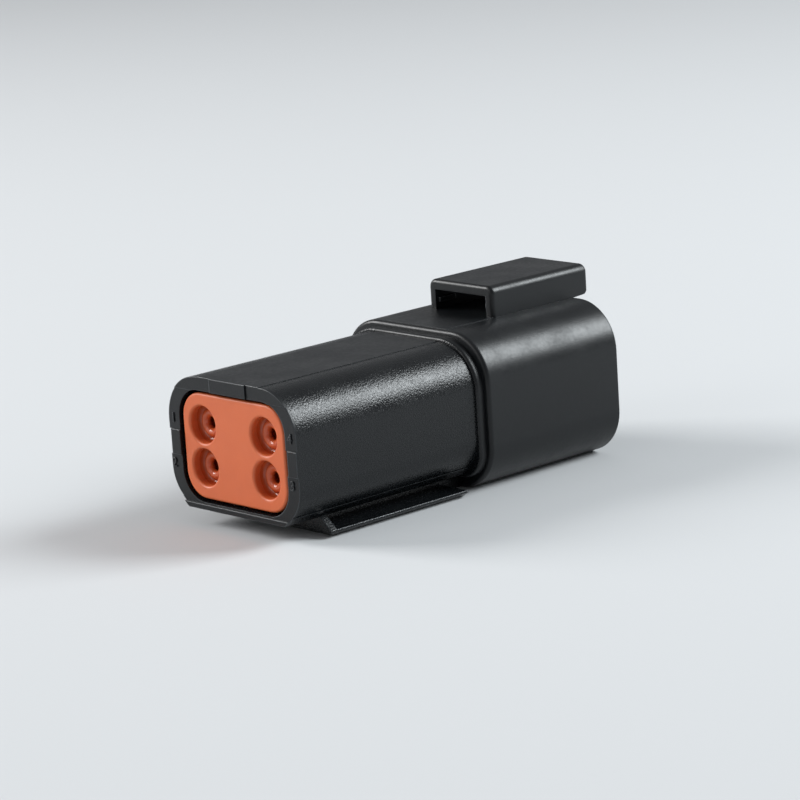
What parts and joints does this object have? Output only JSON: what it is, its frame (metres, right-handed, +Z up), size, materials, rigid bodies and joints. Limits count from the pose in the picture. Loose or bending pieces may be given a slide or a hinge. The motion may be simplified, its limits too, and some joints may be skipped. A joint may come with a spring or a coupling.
{
  "type": "sealed automotive connector",
  "caption": "Sealed in-line receptacle: black moulded housing with latch catch and clip rail, orange silicone wire seal, sliding wedge lock and turned pins",
  "frame": {"origin": "Middle of the part's bounding box in X and Y, at its lowest point in Z", "axes": "X across the connector, Y along the mating axis from the wire face to the mouth, Z up through the latch catch"},
  "size_m": [0.022, 0.0484, 0.0204],
  "materials": {
    "housing": "fine satin moulded thermoplastic",
    "seal": "satin silicone, glossier inside the wire holes",
    "wedge": "moulded thermoplastic",
    "contact": "nickel plated copper alloy"
  },
  "bodies": {
    "body": {"housing": "housing", "wire_seal": "seal", "contact_1": "contact", "contact_2": "contact", "contact_3": "contact", "contact_4": "contact"},
    "wedge": {"wedge_lock": "wedge"}
  },
  "joints": [
    {"name": "wedge_slide", "type": "slide", "parent": "body", "child": "wedge", "axis": [0, 1, 0], "range_m": [0, 0.011]}
  ]
}
